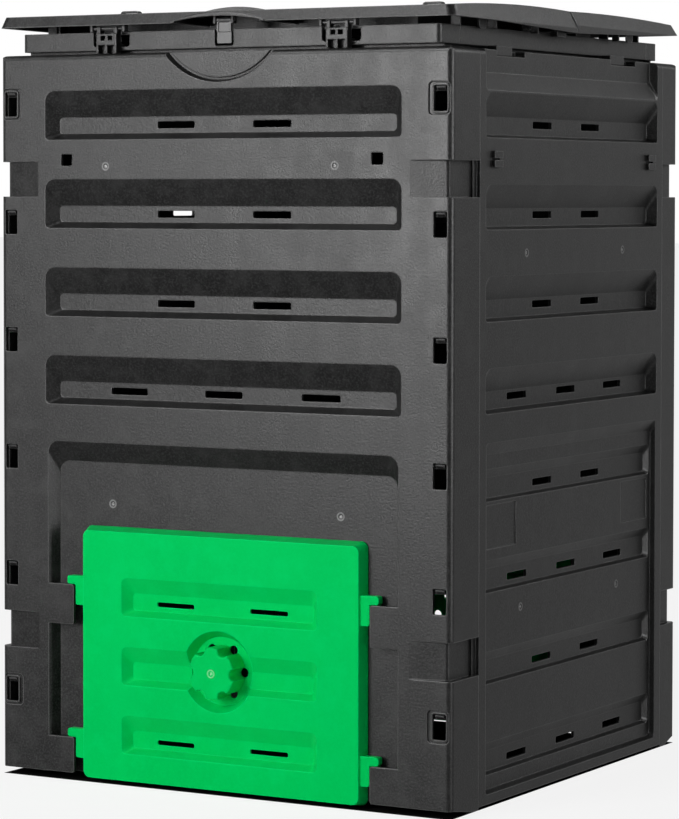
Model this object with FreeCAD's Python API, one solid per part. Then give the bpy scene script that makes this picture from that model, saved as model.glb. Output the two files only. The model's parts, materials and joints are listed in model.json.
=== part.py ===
import FreeCAD, Part
import math
import os

# Square garden compost bin with a two-leaf lid and two sliding doors.
# Millimetres. The origin is on the ground under the middle of the bin.
# The front faces -Y, the right side faces +X and the top faces +Z.

V = FreeCAD.Vector
UP = V(0, 0, 1)
ORIGIN = V(0, 0, 0)

# Walls
HALF_WIDTH = 300.0
WALL_TOP = 847.0
WALL = 4.0
CORNER_R = 7.0
TOP_EDGE_R = 7.0
CLEAR = 0.3
PIN_CLEAR = 0.05
BLEND = 1.0

# End panels, which wrap the four corners
FRONT_WRAP = 66.0
REAR_WRAP = 44.0
END_BOTTOM = 8.0
FOOT_LENGTH = 12.0
LEDGE_THICK = 4.0
END_LEDGE_IN = 30.0
SIDE_LEDGE_IN = 38.0
LEDGE_LOW = WALL_TOP - LEDGE_THICK
FRONT_SEAM = -HALF_WIDTH + FRONT_WRAP
REAR_SEAM = HALF_WIDTH - REAR_WRAP
SIDE_MIDDLE = (FRONT_SEAM + REAR_SEAM) / 2
SIDE_HALF = (REAR_SEAM - FRONT_SEAM) / 2 - CLEAR

# Louvres: rows repeat downward at one pitch on every wall
ROW_PITCH = 102.6
SLOT_LENGTH = 50.0
SLOT_HEIGHT = 8.0
SLOT_R = 2.0
SLOT_PAIR = 64.0
SLOT_TRIPLE = 128.0
LOUVRE_DEPTH = 13.0
LOUVRE_TOP_R = 13.0
LOUVRE_BOTTOM_R = 5.0
END_LOUVRE_DROP = 42.0
END_LOUVRE_IN = 63.0
END_LOUVRE_HEIGHT = 57.0
END_LOUVRE_SLOPE = 31.0
END_LOUVRE_STEP = 7.0
END_LOUVRE_RUN = 12.6
END_LOUVRE_TOP = WALL_TOP - END_LOUVRE_DROP
END_LOUVRE_HALF = HALF_WIDTH - END_LOUVRE_IN

# Grip arc in the end panels' top edge
GRIP_R = 95.0
GRIP_DROP = 35.5
GRIP_DEPTH = 5.0
GRIP_DRAFT = 3.0
GRIP_GROOVE = 3.0
GRIP_GROOVE_DEPTH = 7.5
GRIP_LOW = WALL_TOP - GRIP_DROP

# Clip windows beside the corners, the end ones with a rim in a shallow groove
WINDOW_IN = 14.7
WINDOW_DROP = 57.0
WINDOW_LOW_Z = 101.0
WINDOW_COUNT = 6
WINDOW_WIDTH = 17.0
WINDOW_HEIGHT = 28.5
WINDOW_R = 2.0
WINDOW_RIM = 2.0
GROOVE_INNER = 4.5
GROOVE_OUTER = 0.6
GROOVE_RISE = 2.0
GROOVE_DEPTH = 2.0
GROOVE_R = 5.0
WINDOW_X = HALF_WIDTH - WINDOW_IN
WINDOW_TOP_Z = WALL_TOP - WINDOW_DROP
WINDOW_PITCH = (WINDOW_TOP_Z - WINDOW_LOW_Z) / (WINDOW_COUNT - 1)

# Corner dents
HIGH_DENT_DROP = 165.0
HIGH_DENT_HEIGHT = 40.5
LOW_DENT_LOW = 151.5
LOW_DENT_HEIGHT = 42.5
DENT_SIDE_IN = 7.0
DENT_END_IN = 6.0
DENT_RAMP_IN = 53.0
DENT_CREASE = 10.0
DENT_SEAM_GAP = 9.0
DENT_RAMP_X = HALF_WIDTH - DENT_RAMP_IN
HIGH_DENT_LOW = WALL_TOP - HIGH_DENT_DROP
DENT_SPANS = (
    (HIGH_DENT_LOW, HIGH_DENT_LOW + HIGH_DENT_HEIGHT), (LOW_DENT_LOW, LOW_DENT_LOW + LOW_DENT_HEIGHT))

# Spare square holes and the tie bars' holes share one place on each wall
BAR_IN = 93.5
BAR_DROP = 122.5
SQUARE_WIDTH = 15.0
SQUARE_HEIGHT = 13.5
SQUARE_R = 1.5
MARK_R = 3.0
MARK_DEPTH = 0.5
END_MARK_X = 152.5
END_MARK_DROP = 130.0
END_MARK_LOW = 325.0
SIDE_MARK_U = 129.0
SIDE_MARK_DROP = 228.0
SIDE_MARK_LOW = 215.0
BAR_OFFSET = HALF_WIDTH - BAR_IN
BAR_Z = WALL_TOP - BAR_DROP
END_MARK_HIGH = WALL_TOP - END_MARK_DROP
SIDE_MARK_HIGH = WALL_TOP - SIDE_MARK_DROP

# Door recess, its hook tabs and the doorway
RECESS_IN = 66.5
RECESS_TOP = 397.0
RECESS_BEVEL = 24.0
RECESS_RUN = 7.5
RECESS_DEPTH = 14.5
RECESS_R = 14.0
TAB_REACH = 35.5
HIGH_TAB_TOP = 229.7
LOW_TAB_TOP = 50.2
HIGH_TAB_HEIGHT = 47.0
LOW_TAB_HEIGHT = 42.0
TAB_R = 3.0
DOORWAY_LAP = 23.5
DOORWAY_LOW = 24.0
DOORWAY_TOP = 276.0
DOORWAY_R = 10.0
RECESS_HALF = HALF_WIDTH - RECESS_IN
TAB_INNER = RECESS_HALF - TAB_REACH

# Side panels
SIDE_BOTTOM = 3.0
SIDE_LOUVRE_DROP = 48.0
SIDE_LOUVRE_IN = 14.2
SIDE_LOUVRE_HEIGHT = 50.5
SIDE_LOUVRE_SLOPE = 27.0
SIDE_LOUVRE_STEP = 3.0
SIDE_LOUVRE_RUN = 6.0
SIDE_SLOT_BELOW = 34.5
LOW_LOUVRE_TOP = 378.0
LOW_LOUVRE_HEIGHT = 36.5
LOW_LOUVRE_SLOPE = 10.0
LOW_LOUVRE_DEPTH = 5.5
LOW_SLOT_BELOW = 24.0
FIELD_LOW = 14.0
FIELD_TOP = 408.0
FIELD_BEVEL = 13.5
FIELD_IN = 16.7
FIELD_DEPTH = 6.5
STRIP_DROP = 46.0
STRIP_SLOPE = 20.0
STRIP_RUN = 4.0
STRIP_DEPTH = 10.0
NOTCH_U = 150.0
NOTCH_WIDTH = 70.0
NOTCH_DROP = 6.4
PLATE_NEAR = 141.0
PLATE_WIDTH = 74.0
PLATE_LOW = 288.0
PLATE_HEIGHT = 49.0
PLATE_DEPTH = 1.0
HOOK_RETURN = 20.0
HOOK_WIDTH = 11.0
HOOK_LOW = 8.0
HOOK_TALL = 5.0
HOOK_OUT = 3.0
HOOK_RAMP = 3.5
SIDE_LOUVRE_TOP = WALL_TOP - SIDE_LOUVRE_DROP
SIDE_LOUVRE_HALF = SIDE_HALF - SIDE_LOUVRE_IN
FIELD_HALF = SIDE_HALF - FIELD_IN
STRIP_LOW = WALL_TOP - STRIP_DROP
NOTCH_LOW = WALL_TOP - NOTCH_DROP

# Tie bars
BAR_WIDTH = 24.0
BAR_HEIGHT = 20.0
BAR_GROOVE = 8.0
BAR_WEB = 5.0
PEG_WIDTH = 20.0
PEG_HEIGHT = 16.0
PEG_OUT = 4.0
PEG_BARB = 1.2
PEG_SLIT = 2.0

# Collar rails
COLLAR_IN_X = 22.0
COLLAR_IN_Y = 14.0
COLLAR_GAP = 4.0
COLLAR_HEIGHT = 21.0
COLLAR_R = 6.0
COLLAR_FRONT_RETURN = 46.0
COLLAR_REAR_RETURN = 31.5
COLLAR_SEAM = 0.6
COLLAR_FOOT = 12.0
COLLAR_FOOT_LAP = 3.0
COLLAR_FLANGE = 12.0
COLLAR_FLANGE_THICK = 3.0
CLIP_NOTCH_HALF = 25.0
CLIP_NOTCH_RISE = 4.0
CLIP_NOTCH_R = 4.0
LATCH_NOTCH_HALF = 12.5
LATCH_NOTCH_RISE = 1.6
LATCH_NOTCH_R = 4.0
COLLAR_TAB_LENGTH = 38.0
COLLAR_TAB_OUT = 11.0
COLLAR_X = HALF_WIDTH - COLLAR_IN_X
COLLAR_Y = HALF_WIDTH - COLLAR_IN_Y
COLLAR_LOW = WALL_TOP + COLLAR_GAP
COLLAR_TOP = COLLAR_LOW + COLLAR_HEIGHT
COLLAR_FOOT_TOP = COLLAR_LOW + COLLAR_FOOT_LAP
CLIP_NOTCH_LOW = COLLAR_LOW + CLIP_NOTCH_RISE
LATCH_NOTCH_LOW = COLLAR_LOW + LATCH_NOTCH_RISE
COLLAR_TAB_LOW = NOTCH_LOW + CLEAR

# Lid clips and pins
CLIP_X = 153.0
CLIP_HALF = 13.5
CLIP_OUT = 11.0
CLIP_RIB = 2.2
CLIP_RIB_HEIGHT = 11.0
CLIP_BAR = 4.0
CLIP_WINDOW = 5.5
CLIP_CAP = 2.0
CLIP_POST = 3.0
CLIP_SHOULDER = 8.0
CLIP_BACK = 2.7
EYE_THICK = 4.0
EYE_R = 4.5
EYE_HORN = 1.5
EYE_MOUTH = 3.4
LID_PIN_R = 2.0
LID_PIN_OUT = 5.0
LID_PIN_RISE = 6.5
LID_PIN_HALF = 23.5
EAR_THICK = 3.0
EAR_HALF = 4.0
CLIP_FACE = COLLAR_Y + CLIP_OUT
CLIP_RIB_TOP = WALL_TOP + CLIP_RIB_HEIGHT
CLIP_BAR_TOP = CLIP_RIB_TOP + CLIP_BAR
CLIP_WINDOW_TOP = CLIP_BAR_TOP + CLIP_WINDOW
CLIP_TOP = CLIP_WINDOW_TOP + CLIP_CAP
LID_PIN_Y = COLLAR_Y + LID_PIN_OUT
LID_PIN_Z = CLIP_TOP + LID_PIN_RISE
EYE_TOP = LID_PIN_Z + EYE_HORN

# Lid: heights are rises above its lowest line, which lies at the fold
LID_OVER = 2.0
LID_CORNER_R = 10.0
LID_DRAFT = 4.0
REAR_END_DRAFT = 10.0
LID_WALL = 3.5
LID_REST_GAP = 0.3
LID_GAP = 1.0
LID_FOLD_SLANT = 12.0
LID_CROWN_Y = 140.0
LID_BREAK_Y = 195.0
FOLD_RISE = 25.0
FRONT_BREAK_RISE = 5.7
FRONT_RIM_RISE = 6.3
FRONT_EDGE_RISE = 19.0
FRONT_CROWN_RISE = 26.1
REAR_BREAK_RISE = 5.0
REAR_RIM_RISE = 9.4
REAR_EDGE_RISE = 21.5
REAR_CROWN_RISE = 25.8
FOLD_GAP = 0.4
FOLD_ROOM_Y = 20.0
FOLD_ROOM_RISE = 3.0
FOLD_PIN_R = 1.5
KNUCKLE_R = 4.0
KNUCKLE_GAP = 0.5
KNUCKLE_OUTER = 16.0
KNUCKLE_INNER = 30.0
FOLD_HINGE_OUT = 205.0
LID_HALF = HALF_WIDTH + LID_OVER
LID_LOW = COLLAR_TOP + LID_GAP
FOLD_Z = LID_LOW + FOLD_RISE
FOLD_HINGE_X = (-FOLD_HINGE_OUT, 0.0, FOLD_HINGE_OUT)

# Grip lip on each lid leaf
LIP_HALF = 57.0
LIP_OUT = 3.0
LIP_CREST_IN = 38.0
LIP_END_IN = 95.0
LIP_THICK = 3.6
LIP_LOW_RISE = 8.3
LIP_ARCH = 5.0
LIP_CREST_RISE = 25.6
LIP_SIDE = 5.0
LIP_LOW = LID_LOW + LIP_LOW_RISE
LIP_SPRING = LID_LOW + FRONT_EDGE_RISE

# Loops on top of the lid, and ribs, round tabs and blocks under it
LOOP_X = 205.0
LOOP_Y = 165.0
LOOP_HALF = 13.0
LOOP_RISE = 5.0
LOOP_THICK = 2.4
LOOP_DEPTH = 8.0
LOOP_R = 4.5
RIB_THICK = 2.0
RIB_GAP = 3.0
RIB_LENGTH = 9.0
RIB_DROP = 3.5
FRONT_RIB_Y = 70.0
REAR_RIB_Y = 149.0
U_TAB_Y = 195.0
U_TAB_HALF = 9.0
U_TAB_DROP = 3.0
REST_IN = 2.0
REST_LENGTH = 12.0
REST_THICK = 2.4
REST_Y = 60.0
REST_PITCH = 87.5
REST_COUNT = 3
RIM_THICK = 2.4
RIM_SET_IN = 62.0
RIM_FOLD_GAP = 22.0
FOLD_BLOCK_GAP = 2.0
FOLD_BLOCK_WIDE = 7.0
FOLD_BLOCK_BACK = 14.0
FOLD_BLOCK_AHEAD = 7.5
FOLD_BLOCK_DROP = 4.5
FOLD_BLOCK_RISE = 7.0
RIB_X = (COLLAR_X + RIB_GAP, COLLAR_X + RIB_GAP + RIB_LENGTH)

# Latches
LATCH_HALF = 9.5
LATCH_LENGTH = 26.5
LATCH_SET_IN = 1.6
LATCH_THICK = 2.6
LATCH_PIVOT_RISE = 9.5
LATCH_BARREL_R = 3.0
LATCH_PIN_R = 1.5
LATCH_CREASE_DROP = 13.1
LATCH_EAR_GAP = 0.8
LATCH_EAR_THICK = 3.0
LATCH_RIM = 2.2
LATCH_R = 1.0
LATCH_Y = COLLAR_Y - LATCH_SET_IN
LATCH_PIVOT_Z = LID_LOW + LATCH_PIVOT_RISE
LATCH_LOW = LATCH_PIVOT_Z - LATCH_LENGTH
LATCH_TOP = LATCH_PIVOT_Z - LATCH_BARREL_R / 2
LATCH_CREASE_Z = LATCH_PIVOT_Z - LATCH_CREASE_DROP
LATCH_EAR_X = LATCH_HALF + LATCH_EAR_GAP

# Doors
DOOR_SIDE_GAP = 9.5
DOOR_LOW = 3.0
DOOR_TOP = 299.0
DOOR_FLOOR_GAP = 0.8
DOOR_PROUD = 1.0
DOOR_DRAFT = 4.5
DOOR_WALL = 2.6
DOOR_R = 8.0
DOOR_LOUVRE_IN = 57.5
DOOR_LOUVRE_TOP = 242.0
DOOR_LOUVRE_PITCH = 80.0
DOOR_LOUVRES = 3
DOOR_LOUVRE_HEIGHT = 45.0
DOOR_LOUVRE_SLOPE = 19.0
DOOR_LOUVRE_STEP = 6.5
DOOR_LOUVRE_RUN = 10.0
DOOR_LOUVRE_DEPTH = 10.0
DOOR_LOUVRE_TOP_R = 8.0
DOOR_LOUVRE_BOTTOM_R = 5.0
DOOR_SLOT_HEIGHT = 5.5
DOOR_SLOT_X = 62.5
DOOR_SLOT_BELOW = 30.0
HOOK_ARM_LAP = 10.0
HOOK_ARM_HEIGHT = 10.0
HOOK_LEG_GAP = 1.5
HOOK_LEG_DROP = 24.0
HOOK_LIP_LAP = 8.0
HOOK_FACE_IN = 2.0
HOOK_BACK_IN = 11.0
HOOK_R = 3.0
DOOR_HALF = TAB_INNER - DOOR_SIDE_GAP
DOOR_BACK = HALF_WIDTH - RECESS_DEPTH + DOOR_FLOOR_GAP
DOOR_FACE = HALF_WIDTH + DOOR_PROUD
DOOR_LOUVRE_HALF = DOOR_HALF - DOOR_LOUVRE_IN
DOORWAY_HALF = DOOR_HALF - DOORWAY_LAP
HOOK_ARM_OUT = TAB_INNER + HOOK_ARM_LAP
HOOK_LEG_OUT = TAB_INNER - HOOK_LEG_GAP
HOOK_LIP_OUT = TAB_INNER + HOOK_LIP_LAP
HOOK_FACE = HALF_WIDTH - HOOK_FACE_IN
HOOK_BACK = HALF_WIDTH - HOOK_BACK_IN

# Knobs, lock levers, washers and screws
KNOB_Z = 141.0
DIAL_OUTER_R = 47.0
DIAL_FLOOR_R = 39.5
DIAL_DEPTH = 12.0
DIAL_HOLE_R = 5.5
DIAL_HOLE_AT = 28.5
KNOB_R = 30.0
KNOB_NOTCH_R = 7.0
KNOB_NOTCH_AT = 31.0
KNOB_LOBES = 6
KNOB_OUT = 14.5
KNOB_EDGE_R = 2.0
SHAFT_R = 8.0
LEVER_CLEAR = 0.4
LEVER_THICK = 5.0
LEVER_HALF = 11.0
LEVER_LAP = 10.0
LEVER_TAIL = 20.0
LEVER_R = 9.0
WASHER_R = 9.0
WASHER_THICK = 1.2
SCREW_R = 2.5
SCREW_HEAD_R = 4.6
SCREW_HEAD = 3.2
SCREW_GRIP = 14.0
SCREW_DRIVE_R = 2.0
SCREW_DRIVE_DEPTH = 1.8
CAP_R = 2.6
CAP_DEPTH = 0.6
NEAR = 0.01
KNOB_FRONT = DOOR_FACE + KNOB_OUT
LEVER_FRONT = HALF_WIDTH - RECESS_DEPTH - WALL - LEVER_CLEAR
LEVER_TOP = DOORWAY_TOP + LEVER_LAP


def block(x, y, z):
    """A box from three (low, high) pairs."""
    corner = V(x[0], y[0], z[0])
    return Part.makeBox(x[1] - x[0], y[1] - y[0], z[1] - z[0], corner)


def plan(z):
    """Places flat points in the level plane at height z."""
    return lambda p: V(p.x, p.y, z)


def facing(y):
    """Places flat points in the upright plane at depth y."""
    return lambda p: V(p.x, y, p.y)


def across(x):
    """Places flat points in the upright plane that lies along Y and Z at x."""
    return lambda p: V(x, p.x, p.y)


def rounded_wire(corners, radii, place):
    """A closed wire through flat corners, each rounded by its own radius."""
    points = [V(u, v, 0) for u, v in corners]
    count = len(points)
    turns = []
    for index, corner in enumerate(points):
        back = (points[index - 1] - corner).normalize()
        ahead = (points[(index + 1) % count] - corner).normalize()
        half = back.getAngle(ahead) / 2
        radius = radii[index]
        reach = radius / math.tan(half)
        inward = (back + ahead).normalize()
        middle = corner + inward * (radius / math.sin(half) - radius)
        turns.append((corner + back * reach, middle, corner + ahead * reach))
    edges = []
    for index, (start, middle, end) in enumerate(turns):
        if radii[index] > 0:
            edges.append(Part.Arc(place(start), place(middle), place(end)).toShape())
        following = turns[(index + 1) % count][0]
        edges.append(Part.makeLine(place(end), place(following)))
    return Part.Wire(edges)


def prism(corners, radii, place, sweep):
    """A rounded outline swept along a vector."""
    return Part.Face(rounded_wire(corners, radii, place)).extrude(sweep)


def rectangle(u, v):
    """The four corners of a flat rectangle, counterclockwise from the low left."""
    return [(u[0], v[0]), (u[1], v[0]), (u[1], v[1]), (u[0], v[1])]


def upright_plate(x, y, z, radius):
    """A plate that faces the front, with four rounded corners."""
    return prism(rectangle(x, z), [radius] * 4, facing(y[0]), V(0, y[1] - y[0], 0))


def turned(shape, degrees=180):
    """A copy turned about the upright axis through the origin."""
    copy = shape.copy()
    copy.rotate(ORIGIN, UP, degrees)
    return copy


def mirrored(shape):
    """A copy mirrored from the right side to the left."""
    return shape.mirror(ORIGIN, V(1, 0, 0))


def both_sides(shape):
    """The shape and its left-hand mirror."""
    return [shape, mirrored(shape)]


def joined(shapes):
    """One solid out of overlapping shapes."""
    return shapes[0].multiFuse(shapes[1:]).removeSplitter()


def tapered(face, floor, x, z, runs, radii):
    """A frustum that narrows from the face to the floor.

    runs are the side, top and bottom narrowing, and radii the top, bottom and floor corners.
    """
    side, top, bottom = runs
    top_r, bottom_r, floor_r = radii
    inner_x = (x[0] + side, x[1] - side)
    inner_z = (z[0] + bottom, z[1] - top)
    outer = rounded_wire(rectangle(x, z), [bottom_r, bottom_r, top_r, top_r], facing(face))
    inner = rounded_wire(rectangle(inner_x, inner_z), [floor_r] * 4, facing(floor))
    return Part.makeLoft([outer, inner], True, True)


def pocket_pair(face, depth, wall, x, z, runs, radii):
    """A pocket in a face, and the wider backing that gives it a wall all round."""
    pocket = tapered(face, face + depth, x, z, runs, radii)
    wide_x = (x[0] - wall, x[1] + wall)
    wide_z = (z[0] - wall, z[1] + wall)
    wide_radii = tuple(radius + wall for radius in radii)
    backing = tapered(face + BLEND, face + depth + wall, wide_x, wide_z, runs, wide_radii)
    return pocket, backing


def slot_cut(middle, height, centre_z, floor, wall):
    """A rounded ventilation slot through a pocket's floor."""
    x = (middle - SLOT_LENGTH / 2, middle + SLOT_LENGTH / 2)
    z = (centre_z - height / 2, centre_z + height / 2)
    return upright_plate(x, (floor - BLEND, floor + wall + BLEND), z, SLOT_R)


def row_count(highest, lowest):
    """How many louvre rows fit between two heights, given the top row's lower edge."""
    return int((highest - lowest) / ROW_PITCH) + 1


def slot_centres(three):
    """The slots' places along a row of two or three."""
    if three:
        return (-SLOT_TRIPLE, 0.0, SLOT_TRIPLE)
    return (-SLOT_PAIR, SLOT_PAIR)


def mark_cut(x, z, face):
    """A shallow round gate mark."""
    return Part.makeCylinder(MARK_R, MARK_DEPTH + BLEND, V(x, face - BLEND, z), V(0, 1, 0))


def wrapped_shell(wrap):
    """The end panel's plate with both corner wraps."""
    outer = HALF_WIDTH
    inner = HALF_WIDTH - WALL
    seam = -HALF_WIDTH + wrap
    corners = [
        (-outer, seam), (-outer, -outer), (outer, -outer), (outer, seam),
        (inner, seam), (inner, -inner), (-inner, -inner), (-inner, seam),
    ]
    inner_r = CORNER_R - WALL
    radii = [0, CORNER_R, CORNER_R, 0, 0, inner_r, inner_r, 0]
    return prism(corners, radii, plan(0), UP * WALL_TOP)


def top_rounding():
    """What is cut away to round a wall's top edge, made at the front."""
    reach = HALF_WIDTH + BLEND
    inner_y = -HALF_WIDTH + TOP_EDGE_R
    centre_z = WALL_TOP - TOP_EDGE_R
    corner = block((-reach, reach), (-reach, inner_y), (centre_z, WALL_TOP + BLEND))
    return corner.cut(rod(TOP_EDGE_R, (-reach, reach), inner_y, centre_z))


def end_ledge(wrap):
    """The level ledge inside an end panel's top edge, which carries the collar."""
    reach = HALF_WIDTH - WALL + BLEND
    seam = -HALF_WIDTH + wrap
    z = (LEDGE_LOW, WALL_TOP)
    ring = block((-reach, reach), (-reach, seam), z)
    hollow_x = HALF_WIDTH - SIDE_LEDGE_IN
    hollow = block((-hollow_x, hollow_x), (-HALF_WIDTH + END_LEDGE_IN, seam + BLEND), z)
    return ring.cut(hollow)


def end_bottom_cut(wrap):
    """Trims the front edge to its height and slopes the wraps down to their feet."""
    seam = -HALF_WIDTH + wrap
    below = -2 * END_BOTTOM
    far = -HALF_WIDTH - BLEND
    corners = [
        (far, below), (seam, below), (seam, 0), (seam - FOOT_LENGTH, 0),
        (-HALF_WIDTH + CORNER_R, END_BOTTOM), (far, END_BOTTOM),
    ]
    sweep = V(2 * HALF_WIDTH + 2 * BLEND, 0, 0)
    return prism(corners, [0] * len(corners), across(-HALF_WIDTH - BLEND), sweep)


def dent_pair(wrap, span):
    """One right-hand corner dent and its backing."""
    seam = -HALF_WIDTH + wrap
    end = seam - DENT_SEAM_GAP
    side = HALF_WIDTH - DENT_SIDE_IN
    crease = HALF_WIDTH - DENT_CREASE
    face = -HALF_WIDTH + DENT_END_IN
    far = HALF_WIDTH + 2 * BLEND
    surface = [(DENT_RAMP_X, -HALF_WIDTH), (crease, face), (side, face + 2 * BLEND), (side, end)]
    around = [
        (side - WALL - BLEND, end), (side - WALL - BLEND, seam + BLEND),
        (far, seam + BLEND), (far, -far), (DENT_RAMP_X, -far),
    ]
    height = span[1] - span[0]
    outline = surface + around
    cut = prism(outline, [0] * len(outline), plan(span[0]), UP * height)
    within = HALF_WIDTH - WALL + BLEND
    backing = [
        (DENT_RAMP_X - 2 * WALL, -within), (within, -within), (within, end), (side - WALL, end),
        (side - WALL, face + WALL + 2 * BLEND), (crease - WALL / 2, face + WALL),
        (DENT_RAMP_X, -HALF_WIDTH + WALL), (DENT_RAMP_X - 2 * WALL, -HALF_WIDTH + WALL),
    ]
    thick = prism(backing, [0] * len(backing), plan(span[0] - WALL), UP * (height + 2 * WALL))
    return cut, thick


def grip_pair():
    """The grip arc's recess in the top edge with a deeper groove around it, and its backing."""
    centre_z = GRIP_LOW + GRIP_R
    face = -HALF_WIDTH
    inward = V(0, 1, 0)
    start = V(0, face - BLEND, centre_z)
    floor_r = GRIP_R - GRIP_DRAFT
    disc = Part.makeCone(GRIP_R, floor_r, GRIP_DEPTH + BLEND, start, inward)
    groove = Part.makeCone(GRIP_R, floor_r, GRIP_GROOVE_DEPTH + BLEND, start, inward)
    groove = groove.cut(Part.makeCylinder(floor_r - GRIP_GROOVE, 2 * GRIP_GROOVE_DEPTH, start, inward))
    recess = joined([disc, groove])
    outer = GRIP_R + WALL
    back_start = V(0, face + BLEND, centre_z)
    back_depth = GRIP_GROOVE_DEPTH + WALL - BLEND
    backing = Part.makeCone(outer, outer - GRIP_DRAFT, back_depth, back_start, inward)
    limit = block((-outer, outer), (face, 0), (0, WALL_TOP))
    return recess, backing.common(limit)


def window_cuts():
    """The right-hand column of clip windows, the end ones with a rim in a groove."""
    cuts = []
    face = -HALF_WIDTH
    half_x = WINDOW_WIDTH / 2
    half_z = WINDOW_HEIGHT / 2
    for index in range(WINDOW_COUNT):
        z = WINDOW_TOP_Z - index * WINDOW_PITCH
        width = (WINDOW_X - half_x, WINDOW_X + half_x)
        height = (z - half_z, z + half_z)
        cuts.append(upright_plate(width, (face - BLEND, face + WALL + BLEND), height, WINDOW_R))
        if index in (0, WINDOW_COUNT - 1):
            cuts.append(window_groove(z))
    return cuts


def window_groove(z):
    """The groove around an end window's rim, wider on the side of the panel's middle."""
    y = (-HALF_WIDTH - BLEND, -HALF_WIDTH + GROOVE_DEPTH)
    half_x = WINDOW_WIDTH / 2 + WINDOW_RIM
    half_z = WINDOW_HEIGHT / 2 + WINDOW_RIM
    rim_x = (WINDOW_X - half_x, WINDOW_X + half_x)
    rim = upright_plate(rim_x, y, (z - half_z, z + half_z), WINDOW_R + WINDOW_RIM)
    wide_x = (rim_x[0] - GROOVE_INNER, rim_x[1] + GROOVE_OUTER)
    wide_z = (z - half_z - GROOVE_RISE, z + half_z + GROOVE_RISE)
    return upright_plate(wide_x, y, wide_z, GROOVE_R).cut(rim)


def end_louvres():
    """Pockets, backings and slots of the end panel's louvre rows."""
    pockets = []
    backings = []
    slots = []
    face = -HALF_WIDTH
    floor_height = END_LOUVRE_HEIGHT - END_LOUVRE_SLOPE - END_LOUVRE_STEP
    rows = row_count(END_LOUVRE_TOP - END_LOUVRE_HEIGHT, RECESS_TOP)
    for row in range(rows):
        top = END_LOUVRE_TOP - row * ROW_PITCH
        low = top - END_LOUVRE_HEIGHT
        pocket, backing = pocket_pair(
            face, LOUVRE_DEPTH, WALL, (-END_LOUVRE_HALF, END_LOUVRE_HALF), (low, top),
            (END_LOUVRE_RUN, END_LOUVRE_SLOPE, END_LOUVRE_STEP),
            (LOUVRE_TOP_R, LOUVRE_BOTTOM_R, LOUVRE_BOTTOM_R))
        pockets.append(pocket)
        backings.append(backing)
        slot_z = low + END_LOUVRE_STEP + floor_height / 2
        for middle in slot_centres(row == rows - 1):
            slots.append(slot_cut(middle, SLOT_HEIGHT, slot_z, face + LOUVRE_DEPTH, WALL))
    return pockets, backings, slots


def door_tabs():
    """The four tabs, flush with the wall, that the door's hooks hang on."""
    tabs = []
    outer = RECESS_HALF + WALL
    y = (-HALF_WIDTH, -HALF_WIDTH + WALL)
    for top, height in ((HIGH_TAB_TOP, HIGH_TAB_HEIGHT), (LOW_TAB_TOP, LOW_TAB_HEIGHT)):
        tab = upright_plate((TAB_INNER, outer), y, (top - height, top), TAB_R)
        tabs.extend(both_sides(tab))
    return tabs


def end_panel(wrap):
    """The front panel, or with another wrap the rear one before it is turned."""
    face = -HALF_WIDTH
    pockets, backings, slots = end_louvres()
    recess, recess_back = pocket_pair(
        face, RECESS_DEPTH, WALL, (-RECESS_HALF, RECESS_HALF), (-RECESS_TOP, RECESS_TOP),
        (RECESS_RUN, RECESS_BEVEL, 0), (RECESS_R, RECESS_R, RECESS_R))
    above_ground = block((-HALF_WIDTH, HALF_WIDTH), (face, 0), (END_BOTTOM, WALL_TOP))
    grip, grip_back = grip_pair()
    cuts = pockets + [recess, grip, end_bottom_cut(wrap)]
    solids = [wrapped_shell(wrap), end_ledge(wrap), recess_back.common(above_ground), grip_back]
    for span in DENT_SPANS:
        cut, backing = dent_pair(wrap, span)
        cuts.extend(both_sides(cut))
        solids.extend(both_sides(backing))
    holes = slots
    for cut in window_cuts():
        holes.extend(both_sides(cut))
    for side in (-1, 1):
        x = side * BAR_OFFSET
        width = (x - SQUARE_WIDTH / 2, x + SQUARE_WIDTH / 2)
        height = (BAR_Z - SQUARE_HEIGHT / 2, BAR_Z + SQUARE_HEIGHT / 2)
        holes.append(upright_plate(width, (face - BLEND, face + WALL + BLEND), height, SQUARE_R))
        holes.append(mark_cut(side * END_MARK_X, END_MARK_HIGH, face))
        holes.append(mark_cut(side * END_MARK_X, END_MARK_LOW, face + RECESS_DEPTH))
    floor = face + RECESS_DEPTH
    doorway_x = (-DOORWAY_HALF, DOORWAY_HALF)
    doorway_y = (floor - BLEND, floor + WALL + BLEND)
    holes.append(upright_plate(doorway_x, doorway_y, (DOORWAY_LOW, DOORWAY_TOP), DOORWAY_R))
    rounding = top_rounding()
    cuts += [rounding, turned(rounding, 90), turned(rounding, -90)]
    body = joined(solids + backings)
    body = body.cut(cuts)
    body = body.cut(holes)
    return joined([body] + door_tabs())


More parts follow.
